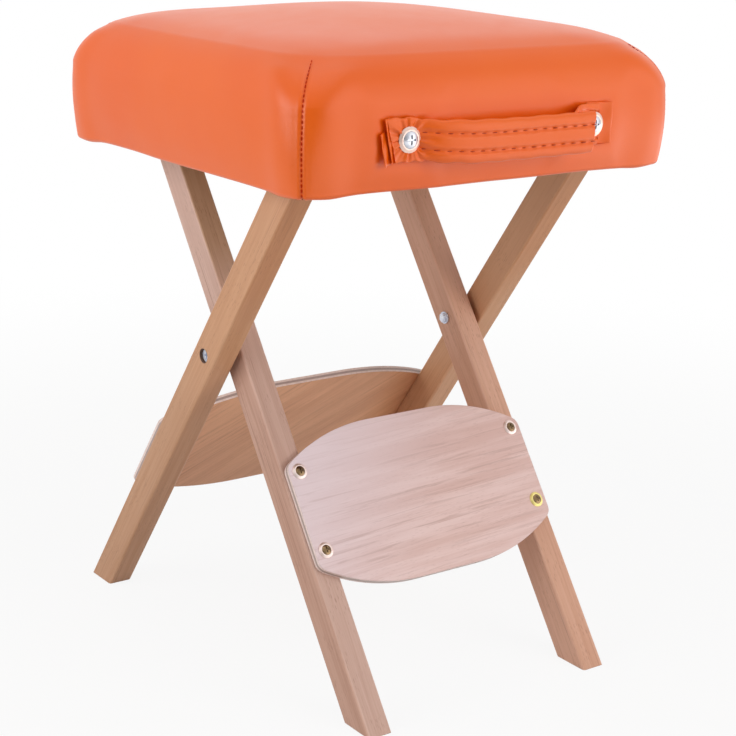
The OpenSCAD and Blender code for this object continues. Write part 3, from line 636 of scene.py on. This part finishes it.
def puffCushion():
    # cloth under pressure, held along the lower edge and the corner seams
    rings = cushionRings(1)
    count, around = rings.shape[:2]
    pad = meshFromRings("cushionPuff", rings, capStart=(0, cushion["middleY"], cushion["bottom"]),
                        capEnd=(0, cushion["middleY"], cushion["top"]))
    seamHigh = cushion["bottom"] + cushion["seamTop"]
    held = [row * around + column for row in range(count) for column in range(around)
            if row < 3 or (column in seamColumns(1) and rings[row, column, 2] < seamHigh)]
    group = pad.vertex_groups.new(name="held")
    group.add(held + [count * around], 1.0, "REPLACE")
    cloth = pad.modifiers.new("cloth", "CLOTH")
    for key, value in clothFinish.items():
        setattr(cloth.settings, key, value)
    cloth.settings.effector_weights.gravity = 0
    cloth.collision_settings.use_collision = False
    cloth.point_cache.frame_end = clothFrames
    for step in range(1, clothFrames + 1):
        scene.frame_set(step)
    shaped = pad.evaluated_get(bpy.context.evaluated_depsgraph_get())
    moved = np.array([v.co for v in shaped.data.vertices])[:count * around].reshape(count, around, 3)
    scene.frame_set(1)
    bpy.data.objects.remove(pad)
    move = moved - rings
    length = np.linalg.norm(move, axis=2) * 1000
    print("cushion puffed: mean", round(float(length.mean()), 2), "mm, most", round(float(length.max()), 2), "mm")
    return rings, move


def spread(field, coarse, fine):
    # the coarse rings' movement, read off at the fine rings
    place = np.interp(profileLength(fine) / profileLength(fine)[-1],
                      profileLength(coarse) / profileLength(coarse)[-1], np.arange(len(coarse)))
    low = np.minimum(place.astype(int), len(coarse) - 2)
    share = (place - low)[:, None, None]
    rows = field[low] * (1 - share) + field[low + 1] * share
    columns = np.arange(fine.shape[1]) / fineness
    low = columns.astype(int)
    share = (columns - low)[None, :, None]
    whole = rows[:, low] * (1 - share) + rows[:, (low + 1) % coarse.shape[1]] * share
    for _ in range(9):
        whole = smoothedAround(whole)
        smoothRows(whole)
    return whole


def gridNormals(rings):
    alongRing = np.roll(rings, -1, axis=1) - np.roll(rings, 1, axis=1)
    upward = np.gradient(rings, axis=0)
    normal = np.cross(alongRing, upward)
    return normal / np.maximum(np.linalg.norm(normal, axis=2, keepdims=True), 1e-12)


def bell(distance, width):
    return np.exp(-(distance / width) ** 2)


def step01(value, low, high):
    share = np.clip((value - low) / (high - low), 0, 1)
    return share * share * (3 - 2 * share)


# the handle's places are needed for the dents under its tabs
bandLow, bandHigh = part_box("handle_band")
cupLow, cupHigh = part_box("handle_cup_washers")
cupRadius = (cupHigh.z - cupLow.z) / 2
handleZ = (cupLow.z + cupHigh.z) / 2
tabBack = bandHigh.y
leftScrewX, rightScrewX = cupLow.x + cupRadius, cupHigh.x - cupRadius

seamRelief = {
    "groove": 0.0007, "grooveWidth": 0.0010,
    "lip": 0.0003, "lipAt": 0.0026, "lipWidth": 0.0013,
    "puff": 0.0013, "puffAt": 0.021, "puffWidth": 0.014,
    "endDent": 0.0012, "endWidth": 0.012,
}
coverRelief = {
    "wave": 0.0002, "waveSize": 0.18,
    "ripple": 0.00003, "rippleSize": 0.05,
    "edgeWave": 0.0005, "edgeWaveSize": 0.09, "edgeHeight": 0.02,
    "edgeDrop": 0.0007, "hang": 0.0026, "hangSize": 0.045,      # the rear left lower corner hangs a little lower
    "tabPress": 0.0010, "tabHalf": (0.017, 0.015),
    "firmFrom": 0.028, "firmTo": 0.010,     # below the top: the foam there is stiffer than the wadding at the sides
}


def buildCushion():
    c = cushion
    rings = cushionRings(fineness)
    coarse, move = puffCushion()
    normals = gridNormals(coarse)
    # the crown keeps its height
    top = c["top"]
    firm = 1 - step01(coarse[:, :, 2:], top - coverRelief["firmFrom"], top - coverRelief["firmTo"])
    outward = np.clip((move * normals).sum(axis=2, keepdims=True) * firm, *c["puffRange"])
    rings = rings + spread(outward * normals, coarse, rings)
    normals = gridNormals(rings)
    around = rings.shape[1]
    lift = np.zeros(rings.shape[:2])
    # corner seams: a groove with lips, swollen cover beside it, and a dent where each seam ends
    seamHigh = c["bottom"] + c["seamTop"]
    ringStep = np.linalg.norm(np.roll(rings, -1, axis=1) - rings, axis=2)
    travel = np.concatenate([np.zeros((len(rings), 1)), np.cumsum(ringStep, axis=1)], axis=1)
    total = travel[:, -1:]
    for column in seamColumns(fineness):
        away = np.abs(travel[:, :around] - travel[:, column:column + 1])
        away = np.minimum(away, total - away)
        below = 1 - step01(rings[:, column:column + 1, 2], seamHigh - 0.006, seamHigh + 0.002)
        relief = -seamRelief["groove"] * bell(away, seamRelief["grooveWidth"])
        for part in ("lip", "puff"):
            relief = relief + seamRelief[part] * bell(away - seamRelief[part + "At"], seamRelief[part + "Width"])
        lift += relief * below
        end = np.argmin(np.abs(rings[:, column, 2] - seamHigh))
        fromEnd = np.linalg.norm(rings - rings[end, column], axis=2)
        lift -= seamRelief["endDent"] * bell(fromEnd, seamRelief["endWidth"])
    # broad unevenness of the stretched cover, and a slightly wavy lower edge
    x, y, z = rings[:, :, 0], rings[:, :, 1], rings[:, :, 2]
    for part, seed in (("wave", 3), ("ripple", 11)):
        lift += coverRelief[part] * smoothNoise(x, y, z, seed, coverRelief[part + "Size"])
    # pressed in under the handle's tabs, swollen around them
    tabX, tabZ = coverRelief["tabHalf"]
    onFront = y < tabBack + 0.02
    for screwX in (leftScrewX, rightScrewX):
        away = np.maximum(np.abs(x - screwX) - tabX, np.abs(z - handleZ) - tabZ)
        press = bell(away - 0.008, 0.010) - 0.8 * (1 - step01(away, -0.004, 0.004))
        lift += onFront * coverRelief["tabPress"] * press
    rings = rings + normals * lift[:, :, None]
    low = 1 - step01(rings[:, :, 2], c["bottom"], c["bottom"] + coverRelief["edgeHeight"])
    rings[:, :, 2] += low * coverRelief["edgeWave"] * smoothNoise(x, y, 0 * z, 5, coverRelief["edgeWaveSize"])
    fromCorner = np.hypot(x + c["halfWide"], y - c["middleY"] - c["halfDeep"])
    rings[:, :, 2] -= low * (coverRelief["edgeDrop"] + coverRelief["hang"] * bell(fromCorner, coverRelief["hangSize"]))
    # the hem under the rails, and the hollow that holds the wooden frame
    gap = 0.0004
    wood = (boardHigh.x + gap, (boardHigh.y - boardLow.y) / 2 + gap, c["lowCorner"] + gap)
    ceiling, hemTop = boardHigh.z + gap, c["bottom"] + c["coverThick"]
    hem = (c["halfWide"] - c["bulge"] - c["hem"], c["halfDeep"] - c["bulge"] - c["hem"], c["hemCorner"])
    inner = [planRing(*plan, z, fineness)
             for plan, z in ((wood, ceiling), (wood, hemTop), (hem, hemTop), (hem, c["bottom"]))]
    made = meshFromRings("seatCushion", np.concatenate([inner, rings]), capStart=(0, c["middleY"], ceiling), sharp=50)
    return made, rings


seatCushion, cushionSkin = buildCushion()
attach(seatCushion, "seat")
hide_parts("seat_cover", "foam_pad", "edge_wadding")
print("seat cushion made:", len(seatCushion.data.polygons), "faces")

seamThread = {"Pitch": 0.0035, "Stitch Length": 0.0029, "Thread Width": 0.00068, "Unevenness": 0.14, "Seed": 7}
seamLift = 0.0006       # out of the groove


def sewCushion():
    lines = []
    normals = gridNormals(cushionSkin)
    around = cushionSkin.shape[1]
    for column in seamColumns(fineness):
        beside = [(column + step) % around for step in range(-6, 7)]
        away = normals[:, beside].mean(axis=1)
        away /= np.linalg.norm(away, axis=1, keepdims=True)
        heights = cushionSkin[:, column, 2]
        top = int(np.argmax(heights > cushion["bottom"] + cushion["seamTop"]))
        used = slice(3, top + 1)
        lines.append((cushionSkin[used, column] + seamLift * away[used], away[used]))
    return sewLines("seamStitches", lines, seamThread, redThread)


seamStitches = sewCushion()
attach(seamStitches, "seat")


# the carrying handle: a band with a padded sleeve around it, gathered beside the left washer
handleMiddle = (leftScrewX + rightScrewX) / 2
screwReach = (rightScrewX - leftScrewX) / 2
handle = {
    "bandWidth": 0.031,
    "coreWidth": 0.024,         # the band inside the sleeve
    "bandThick": 0.0024,
    "tabOut": 0.0036,           # middle of the tabs in front of their back
    "gripWidth": 0.0306,
    "gripThick": 0.0088,
    "stitchThick": 0.0054,      # thickness along the stitch rows
    "rows": (0.0058, -0.0065),  # stitch rows, above and below the grip's middle
    "rowWidth": 0.0017, "rowPull": (0.86, 0.14),
    # along the handle from its middle: the sleeve's distance from the tabs' back, thickness share and width share
    "sleeve": [(-0.0800, 0.0030, 0.22, 0.84), (-0.0745, 0.0040, 0.42, 0.90), (-0.0690, 0.0056, 0.66, 0.95),
               (-0.0610, 0.0082, 0.90, 0.98), (-0.0480, 0.0112, 1.0, 1.0), (-0.0275, 0.0130, 1.0, 1.01),
               (0.0025, 0.0139, 1.0, 1.0), (0.0325, 0.0148, 1.0, 1.0), (0.0545, 0.0155, 1.0, 1.0),
               (0.0752, 0.0160, 0.94, 0.99)],
    "cutThinner": 0.4, "cutWidth": 0.0006,      # the sleeve's cut end
    "cutSlant": 0.00112, "cutFrom": 0.066,
    "wobble": 0.00022, "wobbleSize": 0.028,
    "edgeWave": 0.0005,
    # how far the sleeve hangs below the line between the screws
    "hang": [(-0.104, 0.0), (-0.080, -0.0004), (-0.066, -0.0016), (-0.045, -0.0031), (0.0, -0.0039),
             (0.04, -0.0037), (0.0752, -0.0034)],
    "leftTab": (-0.1000, -0.0560), "leftSlant": 0.0042, "leftWave": 0.00045,
    "leftLift": 0.0046, "leftLiftFrom": -0.0740,
    "leftNarrow": 0.30, "leftNarrowing": (-0.0770, -0.0640),
    # the band from the sleeve down to the right tab: place, distance, width share, hang share
    "rightBand": [(0.0440, 0.0148, 0.0, 1.0), (0.0530, 0.0150, 0.1, 1.0), (0.0590, 0.0138, 0.75, 0.5),
                  (0.0640, 0.0108, 0.97, 0.15), (0.0690, 0.0072, 1.0, 0.0), (0.0750, 0.0046, 1.0, 0.0),
                  (0.0830, 0.0037, 1.0, 0.0), (0.0898, 0.0036, 1.0, 0.0)],
    # pleats around the left washer: share, count, start, twist
    "pleats": [(0.6, 7.3, 0.9, 0), (0.55, 11.7, 2.1, 0), (0.35, 19, 0.4, 90)],
    "gather": 0.00085, "gatherBegin": (0.0062, 0.0097), "gatherEnd": (0.012, 0.0250),
    # creases of the right tab above and below its washer: depth, height, slope, width
    "creaseMiddle": 0.082, "creaseBegin": (0.070, 0.080),
    "creases": [(0.0007, 0.0118, 0.10, 0.0014), (-0.0006, 0.0096, 0.16, 0.0011),
                (0.0007, -0.0122, 0.0, 0.0013), (-0.0006, -0.0100, 0.12, 0.0011)],
    # loose folds of the strip's ends: corners (along, up) clockwise from the upper left, distances at the left and
    # right edge, bend between them
    "folds": [
        [(-0.1062, 0.0150), (-0.0990, 0.0156), (-0.0945, -0.0150), (-0.0990, -0.0166), 0.0046, 0.0014, 0.0],
        [(-0.1092, 0.0048), (-0.1030, 0.0070), (-0.0962, -0.0160), (-0.1046, -0.0184), 0.0042, 0.0010, 0.0],
        [(0.0800, 0.0162), (0.1044, 0.0154), (0.1036, -0.0152), (0.0800, -0.0160), 0.0016, 0.0042, -0.0014],
    ],
    "foldThick": 0.0013,
}


def curveThrough(points, places):
    # smooth values between the given rows, whose first column is the place
    given = np.array(points)
    slopes = np.gradient(given, given[:, 0], axis=0)
    index = np.clip(np.searchsorted(given[:, 0], places, side="right") - 1, 0, len(given) - 2)
    start, end = given[index], given[index + 1]
    step = (end - start)[:, :1]
    share = np.clip((places[:, None] - start[:, :1]) / step, 0, 1)
    slopeStart, slopeEnd = slopes[index] * step, slopes[index + 1] * step
    values = ((2 * share ** 3 - 3 * share ** 2 + 1) * start + (share ** 3 - 2 * share ** 2 + share) * slopeStart
              + (-2 * share ** 3 + 3 * share ** 2) * end + (share ** 3 - share ** 2) * slopeEnd)
    return values[:, 1:].T


def handlePoint(along, out, up):
    return np.stack([handleMiddle + along, tabBack - out, handleZ + up], axis=-1)


def sectionAround(count, roundness):
    # across from -1 to 1 and back, nearly evenly spaced; depth share with round edges
    turn = np.linspace(0, 2 * math.pi, count, endpoint=False)
    across = 0.7 * 2 / math.pi * np.arcsin(np.cos(turn)) + 0.3 * np.cos(turn)
    side = np.where(np.sin(turn) >= 0, 1.0, -1.0)
    return across, side * np.sqrt(np.clip(1 - np.abs(across) ** roundness, 0, 1))


def gathers(along, up):
    # pleats that run outwards from the left washer
    across = along + screwReach
    reach = np.hypot(across, up)
    turn = np.arctan2(up, across)
    strength = step01(reach, *handle["gatherBegin"]) * (1 - step01(reach, *handle["gatherEnd"]))
    pleats = sum(share * np.cos(count * turn + start + twist * reach)
                 for share, count, start, twist in handle["pleats"])
    return handle["gather"] * strength * pleats


def tabFolds(along, up):
    creases = sum(depth * bell(up - height + slope * (along - handle["creaseMiddle"]), width)
                  for depth, height, slope, width in handle["creases"])
    return creases * step01(along, *handle["creaseBegin"])


def outwardOf(line):
    slope = np.gradient(line, axis=0)
    slope /= np.linalg.norm(slope, axis=1, keepdims=True)
    return np.column_stack([-slope[:, 1], slope[:, 0]])


def buildGrip():
    places = np.linspace(handle["sleeve"][0][0], handle["sleeve"][-1][0], 240)
    out, thickShare, wideShare = curveThrough(handle["sleeve"], places)
    hang, = curveThrough(handle["hang"], places)
    away = outwardOf(np.column_stack([places, out]))
    across, shape = sectionAround(120, 5)
    half, thick, thin = handle["gripWidth"] / 2, handle["gripThick"] / 2, handle["stitchThick"] / 2
    steady, swing = handle["rowPull"]
    rings = []
    for i, place in enumerate(places):
        here = np.full(len(across), place)
        up = across * half * wideShare[i]
        depth = thick * thickShare[i] * shape
        travelled = place - places[0]
        for row, lag in zip(handle["rows"], (0.0, 0.4)):
            pull = steady + swing * math.cos(2 * math.pi * (travelled - 0.009) / rowThread["Pitch"] + lag)
            channel = (thick - thin) * pull * bell(up - row, handle["rowWidth"]) * shape
            depth = depth - channel * min(1, thickShare[i] * 1.2)
        depth = depth * (1 - handle["cutThinner"] * bell(places[-1] - place, handle["cutWidth"]))
        front = (shape > 0) * np.abs(shape)
        wobble = handle["wobble"] * smoothNoise(here, up, 0 * up, 21, handle["wobbleSize"])
        depth = depth + front * (gathers(here, up) + wobble)
        edge = handle["edgeWave"] * math.sin(place * 260 + 1.2) * across ** 2 * (1 - 0.5 * step01(place, -0.06, -0.02))
        along = place + handle["cutSlant"] * (across - 1) * step01(place, handle["cutFrom"], places[-1])
        rings.append(handlePoint(along + away[i, 0] * depth, out[i] + away[i, 1] * depth, up + hang[i] + edge))
    rings = np.array(rings)
    made = meshFromRings("handleGrip", rings, sharp=60)
    # the stitch rows, along the bottom of each channel on the sleeve's face
    lines = []
    face = np.column_stack([away[:, 0], -away[:, 1], np.zeros(len(away))])
    for row in handle["rows"]:
        column = int(np.argmin(np.abs(across * half - row) + 10 * (shape <= 0)))
        lines.append((rings[12:-2, column] + 0.0001 * face[12:-2], face[12:-2]))
    return made, lines


def buildSheet(name, places, out, half, hang, relief, slant=0.0):
    # a strip of folded cover: one section per place
    across, shape = sectionAround(128, 16)
    away = outwardOf(np.column_stack([places, out]))
    rings = []
    for i, place in enumerate(places):
        up = across * half[i]
        # the first end is cut at a slant
        along = place - slant * across * (1 - (place - places[0]) / (places[-1] - places[0]))
        depth = handle["bandThick"] / 2 * shape + (shape > 0) * relief(along, up) * np.abs(shape)
        rings.append(handlePoint(along + away[i, 0] * depth, out[i] + away[i, 1] * depth, up + hang[i]))
    return meshFromRings(name, np.array(rings), sharp=60)


def buildFold(*corners, outLeft, outRight, bend):
    upperLeft, upperRight, lowerRight, lowerLeft = (np.array(corner) for corner in corners)
    across, shape = sectionAround(64, 10)
    share = (across[None, :] + 1) / 2
    down = np.linspace(0, 1, 60)[:, None]
    left = upperLeft + (lowerLeft - upperLeft) * down
    right = upperRight + (lowerRight - upperRight) * down
    along, up = (left[:, i:i + 1] + (right - left)[:, i:i + 1] * share for i in (0, 1))
    out = outLeft + (outRight - outLeft) * share + bend * np.sin(math.pi * share)
    out = out + 0.0003 * np.sin(9 * down + 5 * share)
    ends = np.sqrt(np.clip(1 - np.abs(2 * down - 1) ** 30, 0.02, 1))
    out = out + handle["foldThick"] / 2 * shape[None, :] * ends
    return meshFromRings("fold", handlePoint(along, out, up)[::-1], sharp=60)


def buildBand():
    half, core = handle["bandWidth"] / 2, handle["coreWidth"] / 2
    # the left tab, gathered around its washer, with a slightly wavy upper edge
    places = np.linspace(*handle["leftTab"], 130)
    out = handle["tabOut"] + handle["leftLift"] * step01(places, handle["leftLiftFrom"], places[-1])
    halves = half * (1 - handle["leftNarrow"] * step01(places, *handle["leftNarrowing"]))
    hang, = curveThrough(handle["hang"], places)
    hang = hang + handle["leftWave"] * np.sin(places * 520)
    pieces = [buildSheet("handleBand", places, out, halves, hang, gathers, slant=handle["leftSlant"])]
    # the band out of the sleeve, and the upper layer of the right tab
    places = np.linspace(handle["rightBand"][0][0], handle["rightBand"][-1][0], 110)
    out, wide, drop = curveThrough(handle["rightBand"], places)
    hang, = curveThrough(handle["hang"], places)
    halves = core + (half - core) * np.clip(wide, 0, 1)
    pieces.append(buildSheet("rightTab", places, out, halves, hang * np.clip(drop, 0, 1), tabFolds))
    for *corners, outLeft, outRight, bend in handle["folds"]:
        pieces.append(buildFold(*corners, outLeft=outLeft, outRight=outRight, bend=bend))
    with bpy.context.temp_override(active_object=pieces[0], selected_editable_objects=pieces):
        bpy.ops.object.join()
    return pieces[0]


rowThread = {"Pitch": 0.0088, "Stitch Length": 0.0046, "Thread Width": 0.0009, "Unevenness": 0.16, "Seed": 2}
handleGrip, gripRows = buildGrip()
handleBand = buildBand()
gripStitches = sewLines("gripStitches", gripRows, rowThread, gripThread)
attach(gripStitches, "seat")
for piece, node in ((handleGrip, "handle_grip"), (handleBand, "handle_band")):
    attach(piece, "seat")
    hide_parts(node)
print("handle made")


# floor, light and background
floorLook = {"radius": 2.4, "colour": (214, 212, 210), "white": 0.9, "whitening": (0.45, 1.3)}
lamps = [
    # name, place, size, watts
    ("left softbox", (-1.9, 0.2, 0.9), 1.4, 19),
    ("front softbox", (0.9, -2.2, 1.1), 1.5, 24.5),
    ("top softbox", (0.1, -0.2, 2.4), 1.7, 6.5),
]
worldLook = {
    "strength": 0.52, "backdrop": 1.0,
    "darkSide": (-0.62, -0.78, -0.1), "darkening": (0.6, 0.95), "darkShare": 0.8,
    # pale cards that only show as reflections: direction, where they begin and are full, strength
    "cards": [((0.65, -0.757, 0.0), 0.82, 0.97, 1.45), ((0.55, 0.8, 0.22), 0.9, 0.985, 0.32)],
    "cardOnFloor": 2.2,
}


def buildFloor():
    radius, corners = floorLook["radius"], 64
    mesh = bpy.data.meshes.new("floor")
    turns = [2 * math.pi * i / corners for i in range(corners)]
    mesh.from_pydata([(radius * math.cos(t), radius * math.sin(t), 0) for t in turns], [], [tuple(range(corners))])
    floor = newObject("floor", mesh)
    material, tree, _ = newMaterial("pale floor")
    tree.nodes.clear()
    matt = nodeOf(tree, "BsdfDiffuse", {"Color": rgb(*floorLook["colour"])})
    white = nodeOf(tree, "Emission")
    rays = nodeOf(tree, "LightPath").outputs
    seen = maths(tree, "MAXIMUM", rays["Is Camera Ray"],
                 maths(tree, "MAXIMUM", rays["Is Glossy Ray"], rays["Is Transmission Ray"]))
    # white all over at a distance, so that no horizon shows; the object's shadow stays
    place = objectPlace(tree)
    away = measured(tree, "LENGTH", place)
    share = times(tree, seen, eased(tree, away, *floorLook["whitening"], floorLook["white"], 1.0))
    # what the object mirrors of the floor is darker where the photographer stood
    towards = measured(tree, "DOT_PRODUCT", place, worldLook["darkSide"])
    shade = eased(tree, towards, 0.3, 1.1, 0, worldLook["darkShare"])
    # and brighter towards the first pale card
    across = measured(tree, "DOT_PRODUCT", place, worldLook["cards"][0][0])
    shade = minus(tree, shade, eased(tree, across, 0.35, 1.1, 0, worldLook["cardOnFloor"]))
    tree.links.new(minus(tree, 1.0, times(tree, shade, rays["Is Glossy Ray"])), white.inputs["Strength"])
    mixed = nodeOf(tree, "MixShader", {0: share, 1: matt.outputs[0], 2: white.outputs[0]})
    nodeOf(tree, "OutputMaterial", {"Surface": mixed.outputs[0]})
    mesh.materials.append(material)


def buildLight():
    for name, place, size, watts in lamps:
        lamp = bpy.data.lights.new(name, "AREA")
        lamp.shape, lamp.size, lamp.energy = "SQUARE", size, watts
        made = newObject(name, lamp)
        made.location = place
        made.rotation_euler = (Vector((0, 0, 0.3)) - Vector(place)).to_track_quat("-Z", "Y").to_euler()
        made.visible_glossy = name != "front softbox"
    world = bpy.data.worlds.new("studio")
    scene.world = world
    world.use_nodes = True
    tree = world.node_tree
    tree.nodes.clear()
    ahead = nodeOf(tree, "TexCoord").outputs["Generated"]
    rays = nodeOf(tree, "LightPath").outputs
    # darker on the side where the photographer stood
    towards = measured(tree, "DOT_PRODUCT", ahead, worldLook["darkSide"])
    dimmed = eased(tree, towards, *worldLook["darkening"], 1.0, 1 - worldLook["darkShare"])
    level = remap(tree, rays["Is Glossy Ray"], 0, 1, worldLook["strength"], worldLook["backdrop"])
    strength = times(tree, level, dimmed)
    for direction, begin, full, gain in worldLook["cards"]:
        card = eased(tree, measured(tree, "DOT_PRODUCT", ahead, direction), begin, full, 0, gain)
        strength = maths(tree, "ADD", strength, times(tree, card, rays["Is Glossy Ray"]))
    soft = nodeOf(tree, "Background", {"Color": (1, 1, 1, 1), "Strength": strength})
    white = nodeOf(tree, "Background", {"Color": (1, 1, 1, 1)})
    seen = maths(tree, "MAXIMUM", rays["Is Camera Ray"], rays["Is Transmission Ray"])
    mixed = nodeOf(tree, "MixShader", {0: seen, 1: soft.outputs[0], 2: white.outputs[0]})
    nodeOf(tree, "OutputWorld", {"Surface": mixed.outputs[0]})


buildFloor()
buildLight()
print("floor and light set")
